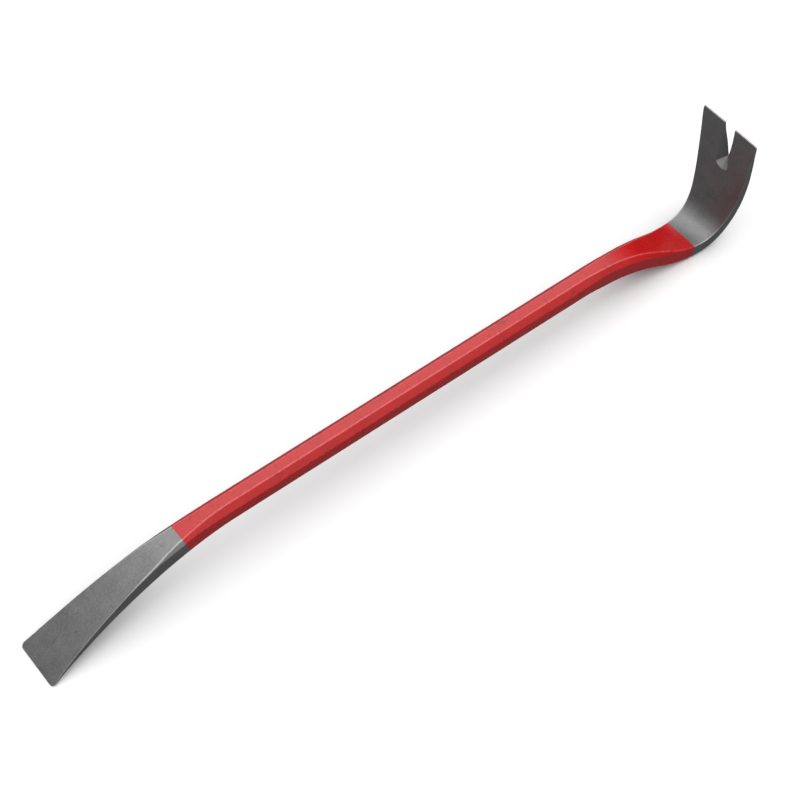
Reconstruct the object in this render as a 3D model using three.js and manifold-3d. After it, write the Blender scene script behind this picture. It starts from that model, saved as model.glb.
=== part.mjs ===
// Octagonal pry bar with a flared chisel blade at one end and a bent claw with
// a nail slot at the other. Millimetres, +Z up, +X from the blade to the claw.
//
// The bar is one steel forging. Its shape is a row of eight-sided sections set
// square to the line that runs along the middle of its upper face. Distances
// "along the bar" are measured on that line, from the blade's edge.

import * as THREE from 'three';
import { mergeVertices } from 'three/addons/utils/BufferGeometryUtils.js';
import Module from 'manifold-3d';

const wasm = await Module();
wasm.setup();

// ---------------------------------------------------------------- dimensions

const BAR_LENGTH = 718;            // along the upper face, blade edge to claw tips
const SHANK_START = 177;           // the straight octagonal shank
const SHANK_END = 490;
const PAINT_START = 131.8;         // where the red coat begins, near the blade
const PAINT_END = 602.5;           // where it ends, at the bend of the claw

const SHANK_WIDTH = 18;            // across the two side flats
const SHANK_HEIGHT = 18.7;         // across the upper and lower flats
const SHANK_CHAMFER = 4.9;         // leg of the octagon's sloping flats
const EDGE_BREAK = 0.4;            // smallest chamfer, on the blade and the claw

const BLADE_CORNER = 3.2;          // corner radius of the blade, seen from above
const CLAW_CORNER = 2;             // outer corner radius of each claw prong
const BLADE_CORNER_STEPS = 5;
const CLAW_CORNER_STEPS = 4;

const COAT_THICKNESS = 0.4;
const COAT_GAP = 0.2;              // between the coat and the steel under it
const COAT_END_GAP = 0.3;          // between the coat's ends and the steel steps

const SLOT_DEPTH = 41;             // claw tips to the slot's corners, on the upper face
const SLOT_TIP_HALF_WIDTH = 5.4;
const SLOT_CORNER_HALF_WIDTH = 6.1;
const SLOT_BOTTOM_SAG = 2.8;       // how far its bottom arc dips below the corners
const SLOT_ARC_STEPS = 6;
const SLOT_APEX_DEPTH = 33.5;      // claw tips to the V's apex, on the back
const SLOT_APEX_PLATE = 6.3;       // depth of the V's apex under the upper face
const SLOT_PROUD = 0.1;            // share of its slope by which the cutter stands proud
const SLOT_OVERRUN = 3;            // how far the cutter passes the tips and their back

const REST_TILT = 1.595;           // degrees the claw end dips when the bar lies down
const STEP = 5;                    // longest spacing of sections where the bar curves

// Each table lists [distance along the bar, value]; values blend smoothly
// between rows. First, the direction of the upper face, in degrees above +X.
const DIRECTION = [
  [0, 33.5], [13, 31], [49, 26], [85, 20.9], [103, 18.6], [121, 13.9], [139, 9.1],
  [157, 4.5], [SHANK_START, 0], [SHANK_END, 0], [503, -3], [517, -6.4], [544, -16.7],
  [566, -26.2], [572, -26.6], [582, -24.2], [592, -17.2], [603, -5.3], [611, 9.9],
  [620, 36.1], [628, 57.8], [636, 68.3], [643, 75.8], [652, 79.9], [663, 84.2],
  [674, 86.4], [695, 88.6], [BAR_LENGTH, 87.6],
];

const HALF_WIDTH = [
  [0, 20.5], [13, 19.05], [31, 17.1], [49, 15.4], [67, 13.8], [85, 12.3], [103, 11.1],
  [121, 10.2], [139, 9.4], [157, 9.1], [SHANK_START, SHANK_WIDTH / 2],
  [SHANK_END, SHANK_WIDTH / 2], [517, 9.05], [544, 10.65], [566, 12.4], [582, 13.6],
  [592, 14.5], [603, 15.7], [620, 17.8], [636, 20.1], [652, 22.5], [674, 24.9],
  [695, 26.5], [BAR_LENGTH, 28],
];

// Leg of the chamfers beside the upper face.
const CHAMFER = [
  [0, EDGE_BREAK], [85, EDGE_BREAK], [103, 0.7], [121, 2.3], [139, 3.4],
  [157, 4.5], [SHANK_START, SHANK_CHAMFER], [SHANK_END, SHANK_CHAMFER], [517, 4.1],
  [544, 3.9], [566, 2.8], [582, 1.6], [592, 0.6], [603, EDGE_BREAK],
  [BAR_LENGTH, EDGE_BREAK],
];

// Depth of the side faces' lower edges below the upper face.
const SIDE_DEPTH = [
  [0, 0.5], [13, 2], [31, 4.1], [49, 5.9], [67, 7.9], [85, 10], [103, 11.7],
  [121, 13], [139, 14], [SHANK_START, SHANK_HEIGHT - SHANK_CHAMFER],
  [SHANK_END, SHANK_HEIGHT - SHANK_CHAMFER], [517, 15.4], [544, 14.2], [566, 12.7],
  [592, 11.6], [603, 10.5], [620, 9.1], [636, 8.2], [652, 7.2], [674, 5.7],
  [695, 3.7], [BAR_LENGTH, 1.1],
];

// Height and width of the bevels beside the lower face. They are the octagon's
// lower flats on the shank, and they crown the claw's back.
const BEVEL_HEIGHT = [
  [0, EDGE_BREAK], [85, EDGE_BREAK], [103, 0.7], [121, 2.3], [139, 3.4],
  [157, 4.5], [SHANK_START, SHANK_CHAMFER], [SHANK_END, SHANK_CHAMFER], [544, 4.2],
  [582, 2.9], [603, 2.2], [636, 1.7], [674, 1.4], [695, 1.1], [BAR_LENGTH, 0.2],
];
const BEVEL_WIDTH = [
  [0, EDGE_BREAK], [85, EDGE_BREAK], [103, 0.7], [121, 2.3], [139, 3.4],
  [157, 4.5], [SHANK_START, SHANK_CHAMFER], [SHANK_END, SHANK_CHAMFER], [544, 4.9],
  [603, 7], [636, 9], [674, 11], [BAR_LENGTH, 12],
];

// -------------------------------------------------------------- shape of bar

// Slope of a table at row i that never overshoots its neighbours.
function rowSlope(table, i) {
  if (i === 0 || i === table.length - 1) {
    return 0;
  }
  const before = (table[i][1] - table[i - 1][1]) / (table[i][0] - table[i - 1][0]);
  const after = (table[i + 1][1] - table[i][1]) / (table[i + 1][0] - table[i][0]);
  return before * after <= 0 ? 0 : (2 * before * after) / (before + after);
}

// Value of a table at a distance along the bar, by cubic Hermite blending.
function valueAt(table, along) {
  let i = 0;
  while (i < table.length - 2 && along > table[i + 1][0]) {
    i += 1;
  }
  const [startAt, start] = table[i];
  const [endAt, end] = table[i + 1];
  const span = endAt - startAt;
  const u = THREE.MathUtils.clamp((along - startAt) / span, 0, 1);
  const blend = u * u * (3 - 2 * u);
  const tangents = rowSlope(table, i) * u * (1 - u) ** 2
    - rowSlope(table, i + 1) * u * u * (1 - u);
  return start + (end - start) * blend + tangents * span;
}

// Points of the upper face's middle line, one each millimetre, with the
// direction there. The shank's axis is z = 0.
function traceSpine() {
  const points = [{ x: 0, z: 0, direction: 0 }];
  points[0].direction = THREE.MathUtils.degToRad(valueAt(DIRECTION, 0));
  for (let along = 1; along <= BAR_LENGTH; along += 1) {
    const last = points[along - 1];
    const middle = THREE.MathUtils.degToRad(valueAt(DIRECTION, along - 0.5));
    points.push({
      x: last.x + Math.cos(middle),
      z: last.z + Math.sin(middle),
      direction: THREE.MathUtils.degToRad(valueAt(DIRECTION, along)),
    });
  }
  const drop = points[SHANK_START].z - SHANK_HEIGHT / 2;
  return points.map((point) => ({ ...point, z: point.z - drop }));
}

const SPINE = traceSpine();

function spineAt(along) {
  const i = Math.min(Math.floor(along), BAR_LENGTH - 1);
  const u = along - i;
  const mix = (key) => SPINE[i][key] * (1 - u) + SPINE[i + 1][key] * u;
  return { x: mix('x'), z: mix('z'), direction: mix('direction') };
}

// Half-width with the corners of the blade and the claw rounded off.
function halfWidthAt(along) {
  const roundOff = (toEnd, radius) => {
    const into = Math.max(radius - toEnd, 0);
    return radius - Math.sqrt(radius * radius - into * into);
  };
  return valueAt(HALF_WIDTH, along)
    - roundOff(along, BLADE_CORNER)
    - roundOff(BAR_LENGTH - along, CLAW_CORNER);
}

// The eight corners of the section at a distance along the bar, each side of
// the section moved in by `inset`. They run down the -Y side and up the +Y side.
function sectionAt(along, inset) {
  const half = halfWidthAt(along);
  const chamfer = valueAt(CHAMFER, along);
  const sideDepth = valueAt(SIDE_DEPTH, along);
  const bevelHeight = valueAt(BEVEL_HEIGHT, along);
  const bevelWidth = valueAt(BEVEL_WIDTH, along);
  // Moving a sloping flat in by `inset` slides its corners along their neighbours.
  const upperSlide = inset * Math.tan(Math.PI / 8);
  const bevelAngle = Math.atan2(bevelHeight, bevelWidth);
  const bevelSideSlide = inset * Math.tan((Math.PI / 2 - bevelAngle) / 2);
  const bevelBaseSlide = inset * Math.tan(bevelAngle / 2);
  const halfOutline = [
    [half - chamfer - upperSlide, -inset],
    [half - inset, -chamfer - upperSlide],
    [half - inset, -sideDepth + bevelSideSlide],
    [half - bevelWidth - bevelBaseSlide, -sideDepth - bevelHeight + inset],
  ];
  const nearSide = halfOutline.map(([y, depth]) => [-y, depth]);
  const outline = [...nearSide, ...halfOutline.reverse()];
  const spine = spineAt(along);
  return outline.map(([y, depth]) => new THREE.Vector3(
    spine.x - Math.sin(spine.direction) * depth,
    y,
    spine.z + Math.cos(spine.direction) * depth,
  ));
}

// Distances at which sections are needed between two ends: none inside the
// straight shank, close together at rounded corners, STEP apart elsewhere.
function stationsBetween(start, end) {
  const stations = [start];
  const addRun = (from, to, step) => {
    const count = Math.max(Math.ceil((to - from) / step), 1);
    for (let i = 1; i <= count; i += 1) {
      stations.push(from + ((to - from) * i) / count);
    }
  };
  const breaks = [
    [BLADE_CORNER, BLADE_CORNER / BLADE_CORNER_STEPS],
    [SHANK_START, STEP],
    [SHANK_END, BAR_LENGTH],
    [BAR_LENGTH - CLAW_CORNER, STEP],
    [BAR_LENGTH, CLAW_CORNER / CLAW_CORNER_STEPS],
  ];
  let from = start;
  for (const [limit, step] of breaks) {
    const to = Math.min(limit, end);
    if (to > from) {
      addRun(from, to, step);
      from = to;
    }
  }
  return stations;
}

// ----------------------------------------------------------------- mesh work

// Skin through rings of equal point counts. A ring list that is `looped` joins
// its last ring to its first; otherwise flat fans close both ends.
function skinRings(rings, looped) {
  const count = rings[0].length;
  const positions = rings.flat().flatMap((point) => [point.x, point.y, point.z]);
  const indices = [];
  const spans = looped ? rings.length : rings.length - 1;
  for (let r = 0; r < spans; r += 1) {
    const here = r * count;
    const there = ((r + 1) % rings.length) * count;
    for (let k = 0; k < count; k += 1) {
      const next = (k + 1) % count;
      indices.push(here + k, here + next, there + next);
      indices.push(here + k, there + next, there + k);
    }
  }
  if (!looped) {
    const last = (rings.length - 1) * count;
    for (let k = 1; k < count - 1; k += 1) {
      indices.push(0, k + 1, k);
      indices.push(last, last + k, last + k + 1);
    }
  }
  const geometry = new THREE.BufferGeometry();
  geometry.setAttribute('position', new THREE.Float32BufferAttribute(positions, 3));
  geometry.setIndex(indices);
  return geometry;
}

function toSolid(geometry) {
  geometry.deleteAttribute('normal');
  const merged = mergeVertices(geometry);
  const mesh = new wasm.Mesh({
    numProp: 3,
    vertProperties: new Float32Array(merged.attributes.position.array),
    triVerts: new Uint32Array(merged.index.array),
  });
  return new wasm.Manifold(mesh);
}

function toGeometry(solid) {
  const mesh = solid.getMesh();
  const geometry = new THREE.BufferGeometry();
  geometry.setAttribute('position', new THREE.BufferAttribute(mesh.vertProperties, 3));
  geometry.setIndex(new THREE.BufferAttribute(mesh.triVerts, 1));
  geometry.computeVertexNormals();
  return geometry;
}

// ------------------------------------------------------------------ the slot

// A point of the slot, from its place across the bar, its distance from the
// claw tips and its depth under the upper face.
function slotPoint(across, fromTip, depth) {
  const tip = spineAt(BAR_LENGTH);
  const corner = spineAt(BAR_LENGTH - SLOT_DEPTH);
  const direction = Math.atan2(tip.z - corner.z, tip.x - corner.x);
  return new THREE.Vector3(
    tip.x - Math.cos(direction) * fromTip + Math.sin(direction) * depth,
    across,
    tip.z - Math.sin(direction) * fromTip - Math.cos(direction) * depth,
  );
}

// The cutter is wide and round-bottomed on the upper face, and a V on the back.
// It stands proud of both faces and of the claw tips.
function slotCutter() {
  const apex = slotPoint(0, SLOT_APEX_DEPTH, SLOT_APEX_PLATE);
  const proud = (point) => point.clone().lerp(apex, -SLOT_PROUD);
  const radius = (SLOT_CORNER_HALF_WIDTH ** 2 + SLOT_BOTTOM_SAG ** 2)
    / (2 * SLOT_BOTTOM_SAG);
  const halfAngle = Math.asin(SLOT_CORNER_HALF_WIDTH / radius);
  const rim = [slotPoint(SLOT_TIP_HALF_WIDTH, -SLOT_OVERRUN, -SLOT_PROUD * SLOT_APEX_PLATE)];
  for (let i = 0; i <= SLOT_ARC_STEPS; i += 1) {
    const angle = halfAngle * (1 - (2 * i) / SLOT_ARC_STEPS);
    const fromTip = SLOT_DEPTH + SLOT_BOTTOM_SAG - radius * (1 - Math.cos(angle));
    rim.push(proud(slotPoint(radius * Math.sin(angle), fromTip, 0)));
  }
  rim.push(slotPoint(-SLOT_TIP_HALF_WIDTH, -SLOT_OVERRUN, -SLOT_PROUD * SLOT_APEX_PLATE));
  const backTips = [-1, 1].map((side) => (
    slotPoint(side * SLOT_TIP_HALF_WIDTH, -SLOT_OVERRUN, SLOT_OVERRUN)
  ));
  // Each fan of triangles turns round one corner of the rim, the apex or a back tip.
  const last = rim.length - 1;
  const apexIndex = rim.length;
  const [backRight, backLeft] = [apexIndex + 1, apexIndex + 2];
  const indices = [];
  for (let i = 1; i < last; i += 1) {
    indices.push(0, i, i + 1);
  }
  for (let i = 0; i < last; i += 1) {
    indices.push(apexIndex, i + 1, i);
  }
  indices.push(apexIndex, 0, backLeft);
  indices.push(apexIndex, backRight, last);
  indices.push(apexIndex, backLeft, backRight);
  indices.push(0, last, backLeft);
  indices.push(last, backRight, backLeft);
  const points = [...rim, apex, ...backTips];
  const geometry = new THREE.BufferGeometry().setFromPoints(points);
  geometry.setIndex(indices);
  return toSolid(geometry);
}

// ------------------------------------------------------------------ the parts

const steel = new THREE.MeshStandardMaterial({
  color: 0x7b7c7e,
  roughness: 0.42,
  metalness: 1,
});
const redPaint = new THREE.MeshStandardMaterial({
  color: 0xb82023,
  roughness: 0.35,
  metalness: 0,
});

// Forging: full-size blade and claw, with the shank between them set in by the
// coat's thickness and its gap.
function makeForgedBar() {
  const inset = COAT_THICKNESS + COAT_GAP;
  const rings = [
    ...stationsBetween(0, PAINT_START).map((along) => sectionAt(along, 0)),
    ...stationsBetween(PAINT_START, PAINT_END).map((along) => sectionAt(along, inset)),
    ...stationsBetween(PAINT_END, BAR_LENGTH).map((along) => sectionAt(along, 0)),
  ];
  const bar = toSolid(skinRings(rings, false)).subtract(slotCutter());
  const mesh = new THREE.Mesh(toGeometry(bar), steel);
  mesh.name = 'forged_bar';
  return mesh;
}

// Coat: a closed sleeve over the shank, out along its outer skin and back
// along its inner one.
function makeRedCoat() {
  const stations = stationsBetween(PAINT_START + COAT_END_GAP, PAINT_END - COAT_END_GAP);
  const outer = stations.map((along) => sectionAt(along, 0));
  const inner = stations.map((along) => sectionAt(along, COAT_THICKNESS)).reverse();
  const mesh = new THREE.Mesh(skinRings([...outer, ...inner], true), redPaint);
  mesh.geometry.computeVertexNormals();
  mesh.name = 'red_shank_coat';
  return mesh;
}

// ------------------------------------------------------------------- assembly

const pryBar = new THREE.Group();
pryBar.add(makeForgedBar(), makeRedCoat());

// The bar lies on its blade's edge and the heel of its claw, with the origin
// under the middle of its box.
pryBar.rotation.y = THREE.MathUtils.degToRad(REST_TILT);
pryBar.updateMatrixWorld(true);
const box = new THREE.Box3().setFromObject(pryBar, true);
const middle = box.getCenter(new THREE.Vector3());
pryBar.position.set(-middle.x, -middle.y, -box.min.z);

export default pryBar;
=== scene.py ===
"""Looks for the pry bar: a forged steel bar with a red painted shank.

Two closed skins stand for the CAD's two nodes. They follow the CAD's sections,
with rounded arrises and a finely meshed nail slot. A point of a section is
given by its distance along the bar, its place across it and its depth, which is
negative below the upper face. All three are in millimetres, and PLACE takes
them to the frame's metres.
"""

import math

import bmesh
import bpy
from mathutils import Euler, Matrix, Vector


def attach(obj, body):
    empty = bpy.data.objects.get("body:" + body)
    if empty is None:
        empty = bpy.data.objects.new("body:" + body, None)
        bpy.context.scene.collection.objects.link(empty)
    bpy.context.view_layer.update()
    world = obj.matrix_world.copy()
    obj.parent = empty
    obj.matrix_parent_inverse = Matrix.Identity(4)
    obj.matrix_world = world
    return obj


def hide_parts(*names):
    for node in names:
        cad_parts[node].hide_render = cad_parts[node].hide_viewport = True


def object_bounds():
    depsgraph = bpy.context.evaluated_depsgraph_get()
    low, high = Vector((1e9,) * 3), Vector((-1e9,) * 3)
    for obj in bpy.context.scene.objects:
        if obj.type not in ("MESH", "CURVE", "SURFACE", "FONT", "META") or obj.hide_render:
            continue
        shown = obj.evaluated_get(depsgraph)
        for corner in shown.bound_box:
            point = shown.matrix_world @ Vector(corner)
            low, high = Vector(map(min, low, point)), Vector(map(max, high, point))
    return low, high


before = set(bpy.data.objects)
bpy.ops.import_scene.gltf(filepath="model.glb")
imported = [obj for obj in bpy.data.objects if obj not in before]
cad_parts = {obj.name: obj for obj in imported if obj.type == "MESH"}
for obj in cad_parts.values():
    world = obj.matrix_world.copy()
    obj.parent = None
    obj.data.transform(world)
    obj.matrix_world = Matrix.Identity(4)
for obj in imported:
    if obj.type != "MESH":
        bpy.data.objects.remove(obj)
cad_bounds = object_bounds()

# ------------------------------------------------- dimensions, in millimetres

MM = 0.001
BAR_LENGTH = 718                  # along the upper face, blade edge to claw tips
SHANK_START = 177                 # the straight octagonal shank
SHANK_END = 490
SHANK_HEIGHT = 18.7
PAINT_START = 131.8
PAINT_END = 602.5
BLADE_CORNER = 3.2                # corner radii, seen square to the upper face
CLAW_CORNER = 2.0
REST_TILT = math.radians(1.595)   # how far the claw's end dips when the bar lies down

COAT_THICKNESS = 0.4
COAT_GAP = 0.2                    # between the coat and the steel under it
COAT_CLEARANCE = 0.06             # between the coat's ends and the steel steps
COAT_LIP = 0.16                   # radius of the coat's outer end edges
COAT_WORN_AND_SHINE_END = 0.6               # how far wear and its painted highlight reach in from the coat's ends

# Radii of a side's four corners, from the underside up: the bevel's lower
# corner, its upper corner, the broad shoulder and the upper arris.
CORNER_RADII = [1.2, 0.6, 1.8, 0.75]
CORNER_ROUND_STEPS = 4
CORNER_ROUND_SHARE = 0.38         # the most of a flat that one rounding takes
BLADE_EDGE_ROUND = 0.06
CLAW_EDGE_ROUND = 0.24
EDGE_ROUND_STEPS = 3

# The nail slot. Depths are from the claw tips, along the upper face.
SLOT_DEPTH = 40.8                 # to the corners of its round bottom
SLOT_SAG = 2.9                    # how far the bottom's arc dips below the corners
SLOT_TIP_HALF = 5.4
SLOT_CORNER_HALF = 6.1
SLOT_APEX = 33.7                  # to the point of the V, on the back
SLOT_BACK_TIP_HALF = 5.4
SLOT_FRONT_ROUND = 0.2
SLOT_BACK_ROUND = 0.22
SLOT_BACK_ROUND_SHARE = 0.3       # the most of the V's half-width that it takes
SLOT_START = SLOT_DEPTH + SLOT_SAG + SLOT_FRONT_ROUND
SLOT_END = CLAW_CORNER

# Each table lists (distance from the blade's edge, value). First, the direction
# of the upper face's middle line, in degrees above +X.
DIRECTION = [
    (0, 33.5), (13, 31), (49, 26), (85, 20.9), (103, 18.6), (121, 13.9), (139, 9.1),
    (157, 4.5), (SHANK_START, 0), (SHANK_END, 0), (503, -3), (517, -6.4), (544, -16.7),
    (566, -26.2), (572, -26.6), (582, -24.2), (592, -17.2), (603, -5.3), (611, 9.9),
    (620, 36.1), (628, 57.8), (636, 68.3), (643, 75.8), (652, 79.9), (663, 84.2),
    (674, 86.4), (695, 88.6), (BAR_LENGTH, 87.6),
]
HALF_WIDTH = [
    (0, 20.5), (13, 19.05), (31, 17.1), (49, 15.4), (67, 13.8), (85, 12.3), (103, 11.1),
    (121, 10.2), (139, 9.4), (157, 9.1), (SHANK_START, 9), (SHANK_END, 9), (517, 9.05),
    (544, 10.65), (566, 12.4), (582, 13.6), (592, 14.5), (603, 15.7), (620, 17.8),
    (636, 20.1), (652, 22.5), (674, 24.9), (695, 26.5), (BAR_LENGTH, 28),
]
# Leg of the chamfers beside the upper face.
CHAMFER = [
    (0, 0.25), (75, 0.25), (85, 0.35), (103, 0.7), (121, 2.3), (139, 3.4), (157, 4.5),
    (SHANK_START, 4.9), (SHANK_END, 4.9), (517, 4.1), (544, 3.9), (566, 2.8), (582, 1.6),
    (592, 0.6), (603, 0.4), (640, 0.3), (BAR_LENGTH, 0.25),
]
# Depth of the side's lower corner, then the bevel from there to the underside.
SIDE_DEPTH = [
    (0, 0.5), (13, 2), (31, 4.1), (49, 5.9), (67, 7.9), (85, 10), (103, 11.7), (121, 13),
    (139, 14), (SHANK_START, 13.8), (SHANK_END, 13.8), (517, 15.4), (544, 14.2),
    (566, 12.7), (592, 11.6), (603, 10.5), (620, 9.1), (636, 8.2), (652, 7.2), (674, 5.7),
    (695, 3.7), (BAR_LENGTH, 1.1),
]
BEVEL_HEIGHT = [
    (0, 0.4), (85, 0.4), (103, 0.7), (121, 2.3), (139, 3.4), (157, 4.5),
    (SHANK_START, 4.9), (SHANK_END, 4.9), (544, 4.2), (582, 2.9), (603, 2.2), (636, 1.7),
    (674, 1.4), (695, 1.1), (BAR_LENGTH, 0.2),
]
BEVEL_WIDTH = [
    (0, 0.4), (85, 0.4), (103, 0.7), (121, 2.3), (139, 3.4), (157, 4.5),
    (SHANK_START, 4.9), (SHANK_END, 4.9), (544, 4.9), (603, 7), (636, 9), (674, 11),
    (BAR_LENGTH, 12),
]

# How far each corner counts as being from a worn edge: 0 is fully worn. The
# worn edge's lighter colour is partly a painted highlight. The side's lower
# corner wears a little, the corners below and above it hardly do. The upper
# arris has a table: its painted highlight is full beside the paint, and dulls
# on the painted root and towards the ends.
CORNER_GAPS = [0.42, 0.15, 0.42]
ARRIS_GAP = [
    (0, 0.4), (75, 0.35), (100, 0.0), (572, 0.0), (584, 0.22), (602.4, 0.25),
    (PAINT_END, 0.0), (636, 0.05), (655, 0.35), (BAR_LENGTH, 0.4),
]
FAR = 10.0                        # a distance at which no wear or painted highlight shows

# ---------------------------------------------------------------- mesh detail

# Longest spacing of rings, up to each distance along the bar.
RING_SPACING = [
    (SHANK_START, 2.0), (SHANK_END, 4.0), (590, 2.0), (655, 1.0), (BAR_LENGTH, 1.3),
]
CORNER_RINGS = 8                  # at the rounded corners of the blade and the claw
UNDERSIDE_CELLS = 6               # across half of the underside
FLAT_CELLS = [4, 4, 3, 8]         # across the bevel, side, chamfer and half the upper face
WALL_CELLS = 7                    # down the slot's wall
SLOT_ROUND_STEPS = 3
ARC_RINGS = 7                     # from the middle of the slot's bottom to its corner
LINE_RINGS = 38                   # from there to the claw's rounded corner
SLOT_RINGS = ARC_RINGS + LINE_RINGS
APEX_RING = 14                    # the ring that meets the point of the V
UPPER_DEPTH = 0.02                # points no deeper than this are on the upper face
SAME_PLACE = 1e-6                 # points closer than this share a place
SHARPEST_TURN = 0.3               # keeps an inset corner from running away
PLACING_STEPS = 2                 # sections per millimetre that find the box

WELD = 2e-7                       # metres
SHARP_ANGLE = math.radians(32)
FLAT_FACE_WEIGHT = 60


# -------------------------------------------------------- tables and sections

def row_slope(table, i):
    """Slope of a table at row i that never overshoots its neighbours."""
    if i in (0, len(table) - 1):
        return 0.0
    before = (table[i][1] - table[i - 1][1]) / (table[i][0] - table[i - 1][0])
    after = (table[i + 1][1] - table[i][1]) / (table[i + 1][0] - table[i][0])
    return 0.0 if before * after <= 0 else 2 * before * after / (before + after)


def value_at(table, along):
    """Value of a table at a distance along the bar, by cubic Hermite blending."""
    i = 0
    while i < len(table) - 2 and along > table[i + 1][0]:
        i += 1
    (start_at, start), (end_at, end) = table[i], table[i + 1]
    span = end_at - start_at
    u = min(max((along - start_at) / span, 0.0), 1.0)
    tangents = row_slope(table, i) * u * (1 - u) ** 2 - row_slope(table, i + 1) * u * u * (1 - u)
    return start + (end - start) * u * u * (3 - 2 * u) + tangents * span


def trace_spine():
    """Points of the upper face's middle line, one each millimetre."""
    points = [(0.0, 0.0)]
    for along in range(1, BAR_LENGTH + 1):
        middle = math.radians(value_at(DIRECTION, along - 0.5))
        x, z = points[-1]
        points.append((x + math.cos(middle), z + math.sin(middle)))
    drop = points[SHANK_START][1] - SHANK_HEIGHT / 2
    return [(x, z - drop) for x, z in points]


SPINE = trace_spine()


def local_point(along, across, depth):
    """Where a point of a section lies in the loft's own frame."""
    i = min(max(int(along), 0), BAR_LENGTH - 1)
    u = along - i
    (x0, z0), (x1, z1) = SPINE[i], SPINE[i + 1]
    direction = math.radians(value_at(DIRECTION, along))
    return Vector((
        x0 + (x1 - x0) * u - math.sin(direction) * depth,
        across,
        z0 + (z1 - z0) * u + math.cos(direction) * depth,
    ))


def round_off(to_end, radius):
    """How much a rounded corner takes off the width at a distance from the end."""
    into = max(radius - to_end, 0.0)
    return radius - math.sqrt(max(radius * radius - into * into, 0.0))


def half_width(along):
    return (value_at(HALF_WIDTH, along) - round_off(along, BLADE_CORNER)
            - round_off(BAR_LENGTH - along, CLAW_CORNER))


def corners_at(along, inset=0.0):
    """(across, depth) of one side's four corners, from the underside up."""
    half = half_width(along)
    chamfer = value_at(CHAMFER, along)
    side = value_at(SIDE_DEPTH, along)
    height = value_at(BEVEL_HEIGHT, along)
    width = value_at(BEVEL_WIDTH, along)
    # Moving a sloping flat in by `inset` slides its corners along their neighbours.
    upper = inset * math.tan(math.pi / 8)
    angle = math.atan2(height, width)
    return [
        (half - width - inset * math.tan(angle / 2), -side - height + inset),
        (half - inset, -side + inset * math.tan((math.pi / 2 - angle) / 2)),
        (half - inset, -chamfer - upper),
        (half - chamfer - upper, -inset),
    ]


def underside_depth(along):
    return -value_at(SIDE_DEPTH, along) - value_at(BEVEL_HEIGHT, along)


def placing():
    """Matrix from the loft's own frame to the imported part's: the boxes coincide."""
    tilt = Matrix.Rotation(REST_TILT, 4, "Y")
    points = [
        tilt @ local_point(step / PLACING_STEPS, across, depth)
        for step in range(PLACING_STEPS * BAR_LENGTH + 1)
        for across, depth in corners_at(step / PLACING_STEPS)
    ]
    low_x = min(point.x for point in points)
    high_x = max(point.x for point in points)
    low_z = min(point.z for point in points)
    box_low, box_high = cad_bounds
    shift_x = (box_low[0] + box_high[0]) / 2 - (low_x + high_x) / 2 * MM
    shift_z = box_low[2] - low_z * MM
    return Matrix.Translation((shift_x, 0, shift_z)) @ Matrix.Scale(MM, 4) @ tilt


PLACE = placing()


# -------------------------------------------------------------- half outlines

def blend(a, b, u):
    return tuple(p + (q - p) * u for p, q in zip(a, b))


def bezier(a, corner, b, steps):
    """Points of the curve that leaves a and reaches b, pulled towards the corner."""
    points = []
    for i in range(steps + 1):
        u = i / steps
        points.append(blend(blend(a, corner, u), blend(corner, b, u), u))
    return points


def round_corner(before, corner, after, radius):
    """Points of a rounding between two flats, kept to its share of each."""
    here = Vector(corner)
    back = Vector(before) - here
    ahead = Vector(after) - here
    turn = math.pi - back.angle(ahead)
    cut = min(radius * math.tan(turn / 2), CORNER_ROUND_SHARE * back.length,
              CORNER_ROUND_SHARE * ahead.length)
    start = here + back.normalized() * cut
    stop = here + ahead.normalized() * cut
    return bezier(tuple(start), tuple(here), tuple(stop), CORNER_ROUND_STEPS)


def flat(start, stop, cells, start_gap, stop_gap):
    """Evenly spaced [along, across, depth, distance to the nearest worn edge with its painted
    highlight].
    """
    length = math.dist(start[1:], stop[1:])
    points = []
    for i in range(cells + 1):
        u = i / cells
        gap = min(start_gap + length * u, stop_gap + length * (1 - u))
        points.append([*blend(start, stop, u), gap])
    return points


def outer_half(along, inset, base_end, top_end):
    """One side's outline, from the underside round to the upper face.

    `base_end` and `top_end` are where it starts and stops, each as (along,
    across, distance to the nearest worn edge, which carries a painted highlight)."""
    corners = corners_at(along, inset)
    start = (base_end[1], corners[0][1])
    stop = (top_end[1], corners[3][1])
    path = [start, *corners, stop]
    rounds = [round_corner(*path[i:i + 3], radius) for i, radius in enumerate(CORNER_RADII)]
    gaps = [*CORNER_GAPS, value_at(ARRIS_GAP, along)]
    points = flat((base_end[0], *start), (along, *rounds[0][0]), UNDERSIDE_CELLS,
                  base_end[2], gaps[0])
    for point in points:
        point[2] = underside_depth(point[0]) + inset
    flat_stops = [(along, *rounding[0]) for rounding in rounds[1:]] + [(top_end[0], *stop)]
    stop_gaps = [*gaps[1:], top_end[2]]
    for i, rounding in enumerate(rounds):
        points += [[along, *point, gaps[i]] for point in rounding[1:-1]]
        points += flat((along, *rounding[-1]), flat_stops[i], FLAT_CELLS[i], gaps[i], stop_gaps[i])
    return points


def plain_half(along, inset=0.0):
    return outer_half(along, inset, (along, 0.0, FAR), (along, 0.0, FAR))


# ---------------------------------------------------------------- nail slot

ARC_RADIUS = (SLOT_CORNER_HALF ** 2 + SLOT_SAG ** 2) / (2 * SLOT_SAG)
ARC_HALF_ANGLE = math.asin(SLOT_CORNER_HALF / ARC_RADIUS)
ARC_CENTRE = SLOT_DEPTH + SLOT_SAG - ARC_RADIUS


def slot_front_half(from_tip):
    """The slot's half-width on the upper face."""
    return SLOT_TIP_HALF + (SLOT_CORNER_HALF - SLOT_TIP_HALF) * from_tip / SLOT_DEPTH


def slot_back_half(from_tip):
    """The slot's half-width on the back, where it is a V."""
    return SLOT_BACK_TIP_HALF * max(1 - from_tip / SLOT_APEX, 0.0)


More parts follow.
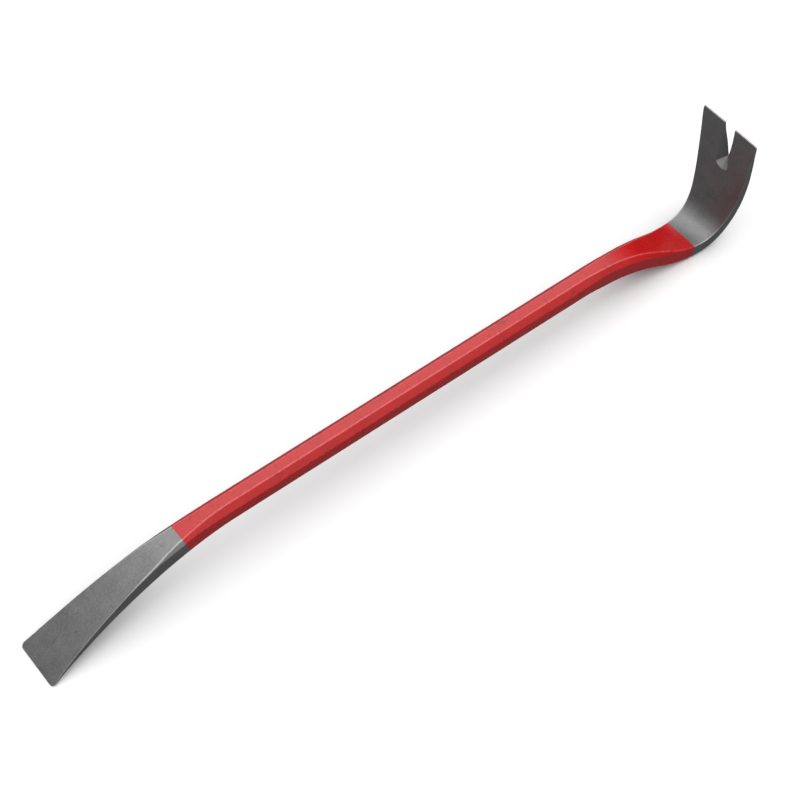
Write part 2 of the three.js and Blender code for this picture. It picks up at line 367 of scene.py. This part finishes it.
def slot_front(ring):
    """Point of the slot's front edge and its outward direction, as (from tip, across)."""
    if ring > ARC_RINGS:
        u = (ring - ARC_RINGS) / LINE_RINGS
        from_tip = SLOT_DEPTH + (SLOT_END - SLOT_DEPTH) * u
        return (from_tip, slot_front_half(from_tip)), (0.0, 1.0)
    angle = ARC_HALF_ANGLE * ring / ARC_RINGS
    outward = (math.cos(angle), math.sin(angle))
    point = (ARC_CENTRE + ARC_RADIUS * outward[0], ARC_RADIUS * outward[1])
    if ring == ARC_RINGS:
        # The corner looks halfway between the arc and the straight side.
        outward = tuple((Vector(outward) + Vector((0, 1))).normalized())
    return point, outward


def slot_outline(along, front, outward, base_tip, back_tip):
    """One side's outline beside the slot: the outside, then the slot's wall."""
    front_point = Vector((BAR_LENGTH - front[0], front[1], 0.0))
    back_across = slot_back_half(back_tip)
    back_along = BAR_LENGTH - back_tip
    back_point = Vector((back_along, back_across, underside_depth(back_along)))
    down_wall = (back_point - front_point).normalized()
    on_face = Vector((
        BAR_LENGTH - (front[0] + outward[0] * SLOT_FRONT_ROUND),
        front[1] + outward[1] * SLOT_FRONT_ROUND,
        0.0,
    ))
    on_wall = front_point + down_wall * SLOT_FRONT_ROUND
    # The back edge's rounding fades out towards the point of the V.
    back_round = min(SLOT_BACK_ROUND, back_across * SLOT_BACK_ROUND_SHARE)
    wall_end = back_point - down_wall * back_round
    base_start = back_point + Vector((0, back_round, 0))
    if back_across > 0:
        base_end = (BAR_LENGTH - base_tip, base_start.y, 0.0)
    else:
        base_end = (BAR_LENGTH - base_tip, 0.0, FAR)
    outside = outer_half(along, 0.0, base_end, (on_face.x, on_face.y, FAR))
    wall = bezier(tuple(on_face), tuple(front_point), tuple(on_wall), SLOT_ROUND_STEPS)[1:]
    wall += [tuple(on_wall.lerp(wall_end, i / WALL_CELLS)) for i in range(1, WALL_CELLS + 1)]
    wall += bezier(tuple(wall_end), tuple(back_point), tuple(base_start), SLOT_ROUND_STEPS)[1:]
    return outside, [[*point, FAR] for point in wall]


def slot_half(ring):
    """The outline at a ring of the slot. Its rings lean, to meet the V's point."""
    front, outward = slot_front(ring)
    if ring <= APEX_RING:
        base_tip = SLOT_START + (SLOT_APEX - SLOT_START) * ring / APEX_RING
        back_tip = SLOT_APEX
    else:
        u = (ring - APEX_RING) / (SLOT_RINGS - APEX_RING)
        base_tip = SLOT_APEX + (SLOT_END - SLOT_APEX) * u
        back_tip = base_tip
    outer_tip = SLOT_START + (SLOT_END - SLOT_START) * ring / SLOT_RINGS
    return slot_outline(BAR_LENGTH - outer_tip, front, outward, base_tip, back_tip)


def prong_row(from_tip):
    """A prong's whole outline in the last stretch, where its corner is rounded."""
    front = (from_tip, slot_front_half(from_tip))
    outside, wall = slot_outline(BAR_LENGTH - from_tip, front, (0.0, 1.0), from_tip, from_tip)
    return [[*point[:3], min(point[3], from_tip)] for point in outside + wall]


# ----------------------------------------------------------------- stations

def ring_stations(start, stop):
    """Distances between two ends, closer together where the bar bends."""
    stations = [start]
    at = start
    for limit, spacing in RING_SPACING:
        to = min(limit, stop)
        if to > at:
            count = math.ceil((to - at) / spacing)
            stations += [at + (to - at) * i / count for i in range(1, count + 1)]
            at = to
    return stations


def corner_stations(radius, end_round):
    """Distances from an end where its rounded corners need rings, furthest first."""
    furthest = math.pi / 2
    nearest = math.acos(1 - end_round / radius)
    turns = [furthest + (nearest - furthest) * i / CORNER_RINGS for i in range(CORNER_RINGS + 1)]
    return [radius * (1 - math.cos(turn)) for turn in turns]


def end_roundings(radius):
    """(distance from the end, inset) of the rings that round an end's edges."""
    turns = [math.pi / 2 * i / EDGE_ROUND_STEPS for i in range(1, EDGE_ROUND_STEPS + 1)]
    return [(radius * (1 - math.sin(turn)), radius * (1 - math.cos(turn))) for turn in turns]


# ------------------------------------------------------------- mesh building

class Skin:
    """Collects rows of points and the faces between them.

    A point's track is how far it lies along and around the bar, in metres, and
    then 1 on the upper face or 0 elsewhere. Its gap is the distance to the
    nearest worn edge, whose lighter colour is partly a painted highlight, in
    millimetres. A face's value in the last list is 1 on the facet at the slot's
    bottom, which gets a painted highlight, and 0 elsewhere."""

    def __init__(self):
        self.points = []
        self.track = []
        self.gaps = []
        self.faces = []
        self.facet_highlight = []

    def add_row(self, row, side):
        """Adds a half outline on the +Y or -Y side, and gives its points' numbers."""
        first = len(self.points)
        around = 0.0
        last = None
        for along, across, depth, gap in row:
            here = Vector((across, depth))
            around += (here - last).length if last is not None else 0.0
            last = here
            self.points.append(PLACE @ local_point(along, side * across, depth))
            self.track.append((along * MM, side * around * MM, float(depth > -UPPER_DEPTH)))
            self.gaps.append(min(gap, FAR))
        return list(range(first, len(self.points)))

    def bridge(self, a, b, side, facet_highlight=0.0):
        """Joins two rows by quads."""
        for i in range(len(a) - 1):
            quad = [a[i], a[i + 1], b[i + 1], b[i]]
            self.faces.append(quad if side > 0 else quad[::-1])
            self.facet_highlight.append(facet_highlight)

    def cap(self, row, flip):
        """Closes a row with one flat face."""
        self.faces.append(row[::-1] if flip else row)
        self.facet_highlight.append(0.0)

    def build(self, name, material):
        """Makes the object, with what its materials read kept as attributes."""
        mesh = bpy.data.meshes.new(name)
        mesh.from_pydata([tuple(point) for point in self.points], [], self.faces)
        track = mesh.attributes.new("track", "FLOAT_VECTOR", "POINT")
        track.data.foreach_set("vector", [number for place in self.track for number in place])
        gap = mesh.attributes.new("gap", "FLOAT", "POINT")
        gap.data.foreach_set("value", self.gaps)
        facet_highlight = mesh.attributes.new("facet_highlight", "FLOAT", "FACE")
        facet_highlight.data.foreach_set("value", self.facet_highlight)
        weld_and_smooth(mesh)
        mesh.materials.append(material)
        piece = bpy.data.objects.new(name, mesh)
        bpy.context.scene.collection.objects.link(piece)
        weighted = piece.modifiers.new("flat_faces", "WEIGHTED_NORMAL")
        weighted.keep_sharp = True
        weighted.weight = FLAT_FACE_WEIGHT
        return piece


def weld_and_smooth(mesh):
    """Joins the two halves' shared points and keeps only the true edges sharp."""
    work = bmesh.new()
    work.from_mesh(mesh)
    bmesh.ops.remove_doubles(work, verts=work.verts, dist=WELD)
    bmesh.ops.dissolve_degenerate(work, edges=work.edges, dist=WELD)
    bmesh.ops.recalc_face_normals(work, faces=work.faces)
    for face in work.faces:
        face.smooth = True
    for edge in work.edges:
        edge.smooth = edge.calc_face_angle(0.0) < SHARP_ANGLE
    work.to_mesh(mesh)
    work.free()


def neighbour(places, i, step):
    """The next place along a closed row that isn't the same as the one at i."""
    for k in range(1, len(places)):
        other = places[(i + step * k) % len(places)]
        if (other - places[i]).length > SAME_PLACE:
            return other
    return places[i]


def inset_row(row, inset):
    """A closed row moved inwards by `inset` within its own section."""
    places = [Vector((point[1], point[2])) for point in row]
    moved = []
    for i, (along, _, _, gap) in enumerate(row):
        arrive = (places[i] - neighbour(places, i, -1)).normalized()
        leave = (neighbour(places, i, 1) - places[i]).normalized()
        inward = Vector((-(arrive.y + leave.y), arrive.x + leave.x))
        turn = max(1 + arrive.dot(leave), SHARPEST_TURN)
        place = places[i] + inward / turn * inset
        moved.append([along, place.x, place.y, gap])
    return moved


def blade_edge_half(from_end, inset):
    """A half outline of the blade's rounded edge, fully worn, with the worn edge's painted
    highlight.
    """
    row = plain_half(from_end)
    mirrored = [[along, -across, depth, gap] for along, across, depth, gap in reversed(row[1:-1])]
    moved = inset_row(row + mirrored, inset)[:len(row)]
    moved[0][1] = 0.0
    moved[-1][1] = 0.0
    return [[*point[:3], 0.0] for point in moved]


def close_blade(skin, row, side):
    """Rounds and closes the blade's edge."""
    for from_end, inset in end_roundings(BLADE_EDGE_ROUND):
        new = skin.add_row(blade_edge_half(from_end, inset), side)
        skin.bridge(new, row, side)
        row = new
    skin.cap(row, side > 0)


def add_prong(skin, row, side):
    """The claw's prong on one side, from the slot's bottom to the rounded tip."""
    wall_row = None
    for ring in range(SLOT_RINGS + 1):
        outside, wall = slot_half(ring)
        whole = skin.add_row(outside + wall, side)
        new_row = whole[:len(outside)]
        new_wall = whole[len(outside) - 1:]
        skin.bridge(row, new_row, side)
        if wall_row is not None:
            skin.bridge(wall_row, new_wall, side, float(ring <= ARC_RINGS))
        row = new_row
        wall_row = new_wall
    row = row + wall_row[1:]
    tip_rows = [prong_row(at) for at in corner_stations(CLAW_CORNER, CLAW_EDGE_ROUND)[1:]]
    tip_rows += [inset_row(prong_row(at), inset) for at, inset in end_roundings(CLAW_EDGE_ROUND)]
    for tip_row in tip_rows:
        new = skin.add_row(tip_row, side)
        skin.bridge(row, new, side)
        row = new
    skin.cap(row[:-1], side < 0)


def make_bar(material):
    """The forging, with its shank set in under the coat."""
    skin = Skin()
    inset = COAT_THICKNESS + COAT_GAP
    rings = [(s, 0.0) for s in reversed(corner_stations(BLADE_CORNER, BLADE_EDGE_ROUND))]
    rings += [(s, 0.0) for s in ring_stations(BLADE_CORNER, PAINT_START)[1:]]
    rings += [(s, inset) for s in ring_stations(PAINT_START, PAINT_END)]
    rings += [(s, 0.0) for s in ring_stations(PAINT_END, BAR_LENGTH - SLOT_START)]
    for side in (1, -1):
        rows = [skin.add_row(plain_half(*ring), side) for ring in rings]
        for a, b in zip(rows, rows[1:]):
            skin.bridge(a, b, side)
        close_blade(skin, rows[0], side)
        add_prong(skin, rows[-1], side)
    return skin.build("forged_bar_skin", material)


def make_coat(material):
    """The coat: a closed sleeve with rounded end edges, worn and painted with a highlight."""
    skin = Skin()
    start = PAINT_START + COAT_CLEARANCE
    stop = PAINT_END - COAT_CLEARANCE
    lip = [(COAT_LIP, 0.0), *end_roundings(COAT_LIP)]
    rings = [(start + from_end, inset) for from_end, inset in reversed(lip)]
    rings.append((start + COAT_WORN_AND_SHINE_END, 0.0))
    rings += [(s, 0.0) for s in ring_stations(start + COAT_WORN_AND_SHINE_END, stop - COAT_WORN_AND_SHINE_END)[1:]]
    rings += [(stop - from_end, inset) for from_end, inset in lip]
    rings += [(s, COAT_THICKNESS) for s in reversed(ring_stations(start, stop))]
    for side in (1, -1):
        rows = []
        for s, inset in rings:
            to_end = min(s - start, stop - s)
            half = [[*point[:3], min(point[3], to_end)] for point in plain_half(s, inset)]
            rows.append(skin.add_row(half, side))
        for a, b in zip(rows, rows[1:] + rows[:1]):
            skin.bridge(a, b, side)
    return skin.build("red_coat_skin", material)


# ---------------------------------------------------------------- materials

# Nearly all of a noise texture's values lie between the first two of these.
NOISE_LOW = 0.3
NOISE_HIGH = 0.7
NOISE_DETAIL = 3.0
NOISE_ROUGHNESS = 0.55            # the usual one

# Thin broken lines, called hairs. Their noise is stretched along each line.
HAIR_TILT = (0.3, 0.2)
HAIR_STRETCH = (14, 75, 60)
HAIR_WIDTH = 0.009
HAIR_BREAK_SCALE = 45.0
HAIR_BREAKS = (0.54, 0.6)


class Nodes:
    """Short calls that add and link the nodes of one tree."""

    def __init__(self, tree):
        self.tree = tree

    def put(self, socket, value):
        """Links a socket, or sets it to a value. None leaves it as it is."""
        if isinstance(value, bpy.types.NodeSocket):
            self.tree.links.new(value, socket)
        elif value is not None:
            socket.default_value = value

    def attribute(self, name, output):
        node = self.tree.nodes.new("ShaderNodeAttribute")
        node.attribute_name = name
        return node.outputs[output]

    def coordinates(self, output):
        return self.tree.nodes.new("ShaderNodeTexCoord").outputs[output]

    def split(self, vector):
        node = self.tree.nodes.new("ShaderNodeSeparateXYZ")
        self.put(node.inputs["Vector"], vector)
        return node.outputs

    def mapping(self, vector, scale=None, rotation=None):
        node = self.tree.nodes.new("ShaderNodeMapping")
        self.put(node.inputs["Vector"], vector)
        self.put(node.inputs["Scale"], scale)
        self.put(node.inputs["Rotation"], rotation)
        return node.outputs["Vector"]

    def noise(self, vector, scale, detail=NOISE_DETAIL, rough=NOISE_ROUGHNESS):
        node = self.tree.nodes.new("ShaderNodeTexNoise")
        self.put(node.inputs["Vector"], vector)
        node.inputs["Scale"].default_value = scale
        node.inputs["Detail"].default_value = detail
        node.inputs["Roughness"].default_value = rough
        return node.outputs["Fac"]

    def map(self, value, low, high, to_low=0.0, to_high=1.0, smooth=False):
        """Takes low..high to to_low..to_high, and holds the ends."""
        node = self.tree.nodes.new("ShaderNodeMapRange")
        node.interpolation_type = "SMOOTHSTEP" if smooth else "LINEAR"
        self.put(node.inputs["Value"], value)
        node.inputs["From Min"].default_value = low
        node.inputs["From Max"].default_value = high
        self.put(node.inputs["To Min"], to_low)
        node.inputs["To Max"].default_value = to_high
        return node.outputs["Result"]

    def spread(self, noise, to_low, to_high):
        """A noise stretched to run from to_low to to_high."""
        return self.map(noise, NOISE_LOW, NOISE_HIGH, to_low, to_high)

    def math(self, operation, a, b=None):
        node = self.tree.nodes.new("ShaderNodeMath")
        node.operation = operation
        self.put(node.inputs[0], a)
        self.put(node.inputs[1], b)
        return node.outputs["Value"]

    def add(self, a, b):
        return self.math("ADD", a, b)

    def subtract(self, a, b):
        return self.math("SUBTRACT", a, b)

    def multiply(self, a, b):
        return self.math("MULTIPLY", a, b)

    def dot(self, vector, axis):
        node = self.tree.nodes.new("ShaderNodeVectorMath")
        node.operation = "DOT_PRODUCT"
        self.put(node.inputs[0], vector)
        node.inputs[1].default_value = axis
        return node.outputs["Value"]

    def scaled(self, colour, factor):
        node = self.tree.nodes.new("ShaderNodeVectorMath")
        node.operation = "SCALE"
        self.put(node.inputs[0], colour)
        self.put(node.inputs["Scale"], factor)
        return node.outputs["Vector"]

    def mix(self, factor, a, b):
        node = self.tree.nodes.new("ShaderNodeMix")
        node.data_type = "RGBA"
        self.put(node.inputs["Factor"], factor)
        colour_inputs = [socket for socket in node.inputs if socket.type == "RGBA"]
        self.put(colour_inputs[0], a)
        self.put(colour_inputs[1], b)
        return next(socket for socket in node.outputs if socket.type == "RGBA")

    def table(self, value, rows):
        """Looks a value up in (input, output) rows, joined by straight lines."""
        first = rows[0][0]
        last = rows[-1][0]
        peak = max(output for _, output in rows)
        node = self.tree.nodes.new("ShaderNodeFloatCurve")
        self.put(node.inputs["Value"], self.map(value, first, last))
        points = node.mapping.curves[0].points
        for _ in rows[2:]:
            points.new(0.5, 0.5)
        for point, (at, output) in zip(points, rows):
            point.location = ((at - first) / (last - first), output / peak)
            point.handle_type = "VECTOR"
        node.mapping.update()
        return self.multiply(node.outputs["Value"], peak)

    def hairs(self, vector, sets):
        """Thin broken lines, one set for each (turn, seed) in `sets`."""
        lines = None
        for turn, seed in sets:
            new = self.hair_set(vector, turn, seed)
            lines = new if lines is None else self.math("MAXIMUM", lines, new)
        return lines

    def hair_set(self, vector, turn, seed):
        """Lines where a stretched noise crosses its middle value."""
        turned = self.mapping(vector, rotation=(*HAIR_TILT, turn))
        node = self.tree.nodes.new("ShaderNodeTexNoise")
        node.noise_dimensions = "4D"
        self.put(node.inputs["Vector"], self.mapping(turned, HAIR_STRETCH))
        node.inputs["W"].default_value = seed
        node.inputs["Scale"].default_value = 1.0
        node.inputs["Detail"].default_value = 1.0
        off = self.math("ABSOLUTE", self.subtract(node.outputs["Fac"], 0.5))
        broken = self.map(self.noise(vector, HAIR_BREAK_SCALE + seed, 1.0), *HAIR_BREAKS)
        return self.multiply(self.map(off, 0.0, HAIR_WIDTH, 1.0, 0.0), broken)

    def worn_and_shine(self, gap, ragged, reach):
        """1 on a worn edge, whose colour is partly a painted highlight, fading to 0 at `reach`
        millimetres from it.
        """
        return self.map(self.add(gap, ragged), 0.0, reach, 1.0, 0.0, smooth=True)

    def bump(self, height, distance, strength, normal=None):
        node = self.tree.nodes.new("ShaderNodeBump")
        node.inputs["Distance"].default_value = distance
        node.inputs["Strength"].default_value = strength
        self.put(node.inputs["Height"], height)
        self.put(node.inputs["Normal"], normal)
        return node.outputs["Normal"]


def new_material(name):
    material = bpy.data.materials.new(name)
    material.use_nodes = True
    shader = material.node_tree.nodes["Principled BSDF"]
    return material, shader, Nodes(material.node_tree)


# Colours are linear. A noise is (scale per metre, detail, roughness), with the
# roughness left out where it is the usual one. A pair is the least and most
# that a noise gives, but FLANKS and EDGES are the noise's own values where
# marks, dents and patches start and reach their full height. A relief is
# (height in metres, strength).
STEEL_DARK = (0.140, 0.140, 0.142, 1.0)
STEEL_LIGHT = (0.210, 0.210, 0.212, 1.0)
STEEL_CLOUD = (90.0, 4.0)
STEEL_CLOUD_TONE = (0.15, 0.6)
STEEL_CLOUD_ROUGHNESS = (0.42, 0.50)
STEEL_GRAIN = (900.0, 4.0, 0.6)
STEEL_GRAIN_TONE = (-0.12, 0.35)
# grain in the upper face's painted highlight
STEEL_UPPER_LIGHT_GRAIN = (-0.06, 0.06)
STEEL_BRUSHED_SCALE = (260.0, 1500.0, 0.0)  # along the bar, around it
STEEL_BRUSHED_ROUGHNESS = (-0.04, 0.04)
STEEL_METALLIC = 0.7

# The lighter colour of worn steel edges is partly real wear and partly a painted highlight.
STEEL_WORN_AND_SHINE = (0.45, 0.45, 0.45, 1.0)
STEEL_WORN_AND_SHINE_SHARE = 0.55
STEEL_WORN_AND_SHINE_REACH = 0.7                      # millimetres from the edge
STEEL_WORN_AND_SHINE_RAGGED = (-0.25, 0.25)           # how far grain moves the border of the worn edge and its painted highlight
STEEL_HAIR = (0.075, 0.075, 0.077, 1.0)
STEEL_HAIR_SHARE = 0.35
STEEL_HAIR_SETS = [(0.6, 1.3), (-0.9, 5.2), (1.9, 9.4)]
STEEL_FACET_HIGHLIGHT = (0.43, 0.43, 0.43, 1.0)      # painted highlight on the sloping facet at the slot's bottom

STEEL_WAVES = (160.0, 2.0)
STEEL_WAVE_RELIEF = (0.0004, 0.25)
STEEL_MARKS = (430.0, 1.5)
STEEL_MARK_FLANKS = (0.5, 0.7)
STEEL_MARK_RELIEF = (0.00008, 0.45)
STEEL_FINE_RELIEF = (0.00012, 0.35)
STEEL_GRAIN_SHARE = 0.6                     # of the fine relief, the rest is brushing

# A factor on the forging's upper face by distance from the blade's edge: a
# painted highlight, lightest beside the paint and in the claw's bend.
STEEL_UPPER_PAINTED_LIGHT = [
    (0, 0.97), (45, 0.95), (85, 0.98), (112, 1.1), (PAINT_START, 1.14), (PAINT_END, 1.05),
    (614, 1.12), (622, 1.45), (627, 1.3), (634, 0.96), (655, 0.97), (BAR_LENGTH, 1.06),
]


def steel_material():
    material, shader, n = new_material("bare_forged_steel")
    place = n.coordinates("Object")
    track = n.attribute("track", "Vector")
    cloud = n.noise(place, *STEEL_CLOUD)
    grain = n.noise(place, *STEEL_GRAIN)
    brushed = n.noise(n.mapping(track, STEEL_BRUSHED_SCALE), 1.0)
    # Tone: clouds and grain, then the painted highlight on the upper face.
    tone = n.add(n.spread(cloud, *STEEL_CLOUD_TONE), n.spread(grain, *STEEL_GRAIN_TONE))
    colour = n.mix(tone, STEEL_DARK, STEEL_LIGHT)
    along, _, upper = n.split(track)
    upper_painted_light = n.table(along, [(at * MM, value) for at, value in STEEL_UPPER_PAINTED_LIGHT])
    upper_painted_light = n.add(upper_painted_light, n.spread(grain, *STEEL_UPPER_LIGHT_GRAIN))
    colour = n.scaled(colour, n.add(1.0, n.multiply(upper, n.subtract(upper_painted_light, 1.0))))
    # Worn edges, partly a painted highlight, hairs and the slot's bottom facet.
    ragged = n.spread(grain, *STEEL_WORN_AND_SHINE_RAGGED)
    worn_and_shine = n.worn_and_shine(n.attribute("gap", "Fac"), ragged, STEEL_WORN_AND_SHINE_REACH)
    colour = n.mix(n.multiply(worn_and_shine, STEEL_WORN_AND_SHINE_SHARE), colour, STEEL_WORN_AND_SHINE)
    hairs = n.hairs(place, STEEL_HAIR_SETS)
    colour = n.mix(n.multiply(hairs, STEEL_HAIR_SHARE), colour, STEEL_HAIR)
    # The facet at the slot's bottom gets a painted highlight.
    colour = n.mix(n.attribute("facet_highlight", "Fac"), colour, STEEL_FACET_HIGHLIGHT)
    n.put(shader.inputs["Base Color"], colour)
    shader.inputs["Metallic"].default_value = STEEL_METALLIC
    rough = n.spread(cloud, *STEEL_CLOUD_ROUGHNESS)
    rough = n.add(rough, n.spread(brushed, *STEEL_BRUSHED_ROUGHNESS))
    n.put(shader.inputs["Roughness"], rough)
    # Relief: forged waves, small marks, then grain and brushing.
    relief = n.bump(n.noise(place, *STEEL_WAVES), *STEEL_WAVE_RELIEF)
    marks = n.map(n.noise(place, *STEEL_MARKS), *STEEL_MARK_FLANKS, smooth=True)
    relief = n.bump(marks, *STEEL_MARK_RELIEF, relief)
    fine = n.multiply(grain, STEEL_GRAIN_SHARE)
    fine = n.add(fine, n.multiply(brushed, 1.0 - STEEL_GRAIN_SHARE))
    n.put(shader.inputs["Normal"], n.bump(fine, *STEEL_FINE_RELIEF, relief))
    return material


PAINT_DEEP = (0.365, 0.0040, 0.0048, 1.0)
PAINT_BRIGHT = (0.43, 0.0066, 0.0074, 1.0)
PAINT_CLOUD = (60.0, 4.0)
PAINT_CLOUD_TONE = (0.15, 0.75)
PAINT_CLOUD_ROUGHNESS = (0.22, 0.30)
PAINT_GRAIN = (700.0, 3.0)
PAINT_GRAIN_TONE = (-0.2, 0.3)
PAINT_SPECULAR = 0.5

# The paint's lighter worn edge is partly real wear and partly a painted highlight, along the upper
# arris and at the coat's ends.
PAINT_WORN_AND_SHINE = (0.72, 0.12, 0.12, 1.0)
PAINT_WORN_AND_SHINE_SHARE = 0.5
PAINT_WORN_AND_SHINE_REACH = 0.5
PAINT_WORN_AND_SHINE_RAGGED = (-0.2, 0.3)
PAINT_HAIR = (0.16, 0.003, 0.004, 1.0)
PAINT_HAIR_SHARE = 0.6
PAINT_HAIR_SETS = [(0.9, 3.7), (-0.5, 8.1)]
PAINT_DENT = (0.24, 0.003, 0.004, 1.0)
PAINT_DENT_SHARE = 0.4
PAINT_DENT_ROUGHNESS = 0.12
PAINT_DENTS = (380.0, 2.0)
PAINT_DENT_FLANKS = (0.5, 0.68)
PAINT_DENT_PATCHES = (70.0, 1.0)            # where dents crowd together
PAINT_DENT_PATCH_EDGES = (0.4, 0.6)
PAINT_DENT_LEAST = 0.25                     # how deep they are between the patches

PAINT_PEEL = (420.0, 2.0)
PAINT_PEEL_RELIEF = (0.00025, 0.11)
PAINT_DENT_RELIEF = (0.00005, 0.22)
PAINT_GRAIN_RELIEF = (0.00006, 0.08)


def paint_material():
    material, shader, n = new_material("red_enamel")
    place = n.coordinates("Object")
    cloud = n.noise(place, *PAINT_CLOUD)
    grain = n.noise(place, *PAINT_GRAIN)
    dents = n.map(n.noise(place, *PAINT_DENTS), *PAINT_DENT_FLANKS, smooth=True)
    patches = n.noise(place, *PAINT_DENT_PATCHES)
    dents = n.multiply(dents, n.map(patches, *PAINT_DENT_PATCH_EDGES, PAINT_DENT_LEAST))
    # Tone, worn edges that are partly a painted highlight, dents and hairs.
    tone = n.add(n.spread(cloud, *PAINT_CLOUD_TONE), n.spread(grain, *PAINT_GRAIN_TONE))
    colour = n.mix(tone, PAINT_DEEP, PAINT_BRIGHT)
    ragged = n.spread(grain, *PAINT_WORN_AND_SHINE_RAGGED)
    worn_and_shine = n.worn_and_shine(n.attribute("gap", "Fac"), ragged, PAINT_WORN_AND_SHINE_REACH)
    colour = n.mix(n.multiply(worn_and_shine, PAINT_WORN_AND_SHINE_SHARE), colour, PAINT_WORN_AND_SHINE)
    colour = n.mix(n.multiply(dents, PAINT_DENT_SHARE), colour, PAINT_DENT)
    hairs = n.hairs(place, PAINT_HAIR_SETS)
    colour = n.mix(n.multiply(hairs, PAINT_HAIR_SHARE), colour, PAINT_HAIR)
    n.put(shader.inputs["Base Color"], colour)
    shader.inputs["Specular IOR Level"].default_value = PAINT_SPECULAR
    rough = n.spread(cloud, *PAINT_CLOUD_ROUGHNESS)
    rough = n.add(rough, n.multiply(dents, PAINT_DENT_ROUGHNESS))
    n.put(shader.inputs["Roughness"], rough)
    # Relief: orange peel, dents, then grain.
    relief = n.bump(n.noise(place, *PAINT_PEEL), *PAINT_PEEL_RELIEF)
    relief = n.bump(n.subtract(1.0, dents), *PAINT_DENT_RELIEF, relief)
    n.put(shader.inputs["Normal"], n.bump(grain, *PAINT_GRAIN_RELIEF, relief))
    return material


# ------------------------------------------------------------------- pieces

bar = make_bar(steel_material())
coat = make_coat(paint_material())
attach(bar, "root")
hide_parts("forged_bar")
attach(coat, "root")
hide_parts("red_shank_coat")

# -------------------------------------------------------------------- stage

FLOOR_HALF = 6.0
FLOOR_GREY = (0.74, 0.74, 0.74, 1.0)
FLOOR_ROUGHNESS = 0.9
FLOOR_SPECULAR = 0.1


def floor_material():
    material, shader, _ = new_material("studio_floor")
    shader.inputs["Base Color"].default_value = FLOOR_GREY
    shader.inputs["Roughness"].default_value = FLOOR_ROUGHNESS
    shader.inputs["Specular IOR Level"].default_value = FLOOR_SPECULAR
    return material


def make_floor():
    """A plain square. The surroundings give the light that comes off it."""
    mesh = bpy.data.meshes.new("studio_floor")
    turns = [(-1, -1), (1, -1), (1, 1), (-1, 1)]
    corners = [(x * FLOOR_HALF, y * FLOOR_HALF, 0) for x, y in turns]
    mesh.from_pydata(corners, [], [(0, 1, 2, 3)])
    mesh.materials.append(floor_material())
    floor = bpy.data.objects.new("studio_floor", mesh)
    bpy.context.scene.collection.objects.link(floor)
    floor.visible_glossy = False
    floor.visible_diffuse = False
    return floor


floor = make_floor()

# -------------------------------------------------------------------- light

# The surroundings: a large soft light overhead, a broad dim fill on the near
# and blade side, dark studio walls, and light coming back off the floor. Each
# pair below is where a light starts and stops changing, as the dot product of
# a direction with the axis named. Heights are along +Z.
KEY_AXIS = (0.30, 0.0, 0.954)
KEY = [
    (-1.0, 0.0), (0.3, 0.0), (0.54, 0.6), (0.64, 1.15), (0.75, 1.95), (0.87, 2.0),
    (0.93, 2.6), (1.0, 3.0),
]
KEY_HEIGHTS = (0.42, 0.68)
FILL = 0.62
FILL_AXIS = (-0.6, -0.8, 0.0)
FILL_EDGE = (-0.3, 0.5)
FILL_HEIGHTS = (-0.05, 0.45)
WALL = 0.03
FLOOR_GLOW = 0.33                 # on the blade's side
FLOOR_GLOW_DIM = 0.23             # on the claw's side
FLOOR_GLOW_EDGE = (-0.4, 0.1)     # along +X
FLOOR_GLOW_HEIGHTS = (-0.35, 0.0)


def make_world():
    world = bpy.data.worlds.new("studio")
    world.use_nodes = True
    tree = world.node_tree
    n = Nodes(tree)
    direction = n.coordinates("Generated")
    side, _, height = n.split(direction)
    key = n.multiply(n.table(n.dot(direction, KEY_AXIS), KEY),
                     n.map(height, *KEY_HEIGHTS, smooth=True))
    fill = n.multiply(n.map(n.dot(direction, FILL_AXIS), *FILL_EDGE, 0.0, FILL, smooth=True),
                      n.map(height, *FILL_HEIGHTS, smooth=True))
    floor_glow = n.map(side, *FLOOR_GLOW_EDGE, FLOOR_GLOW, FLOOR_GLOW_DIM)
    low = n.map(height, *FLOOR_GLOW_HEIGHTS, floor_glow, WALL, smooth=True)
    glow = n.add(n.add(key, fill), low)
    # The floor's edge never shows: what the camera sees past it is white.
    camera_ray = tree.nodes.new("ShaderNodeLightPath").outputs["Is Camera Ray"]
    strength = n.add(n.multiply(glow, n.subtract(1.0, camera_ray)), camera_ray)
    background = tree.nodes["Background"]
    background.inputs["Color"].default_value = (1, 1, 1, 1)
    n.put(background.inputs["Strength"], strength)
    bpy.context.scene.world = world


make_world()
bpy.context.scene.view_settings.view_transform = "Standard"

# ------------------------------------------------------------------- camera

CAMERA_AT = (-0.4560, -0.6365, 1.1622)
CAMERA_TURNS = (34.743, 1.493, -37.702)     # degrees about X, then Y, then Z
CAMERA_LENS = 86.19
SENSOR_WIDTH = 36.0
CLIP_START = 0.01


def make_camera():
    data = bpy.data.cameras.new("photo_angle")
    data.lens = CAMERA_LENS
    data.sensor_width = SENSOR_WIDTH
    data.sensor_fit = "HORIZONTAL"
    data.clip_start = CLIP_START
    camera = bpy.data.objects.new("photo_angle", data)
    bpy.context.scene.collection.objects.link(camera)
    turn = Euler([math.radians(angle) for angle in CAMERA_TURNS])
    camera.matrix_world = Matrix.Translation(CAMERA_AT) @ turn.to_matrix().to_4x4()
    bpy.context.scene.camera = camera


make_camera()

# --------------------------------------------------------------------- view update

bpy.context.view_layer.update()
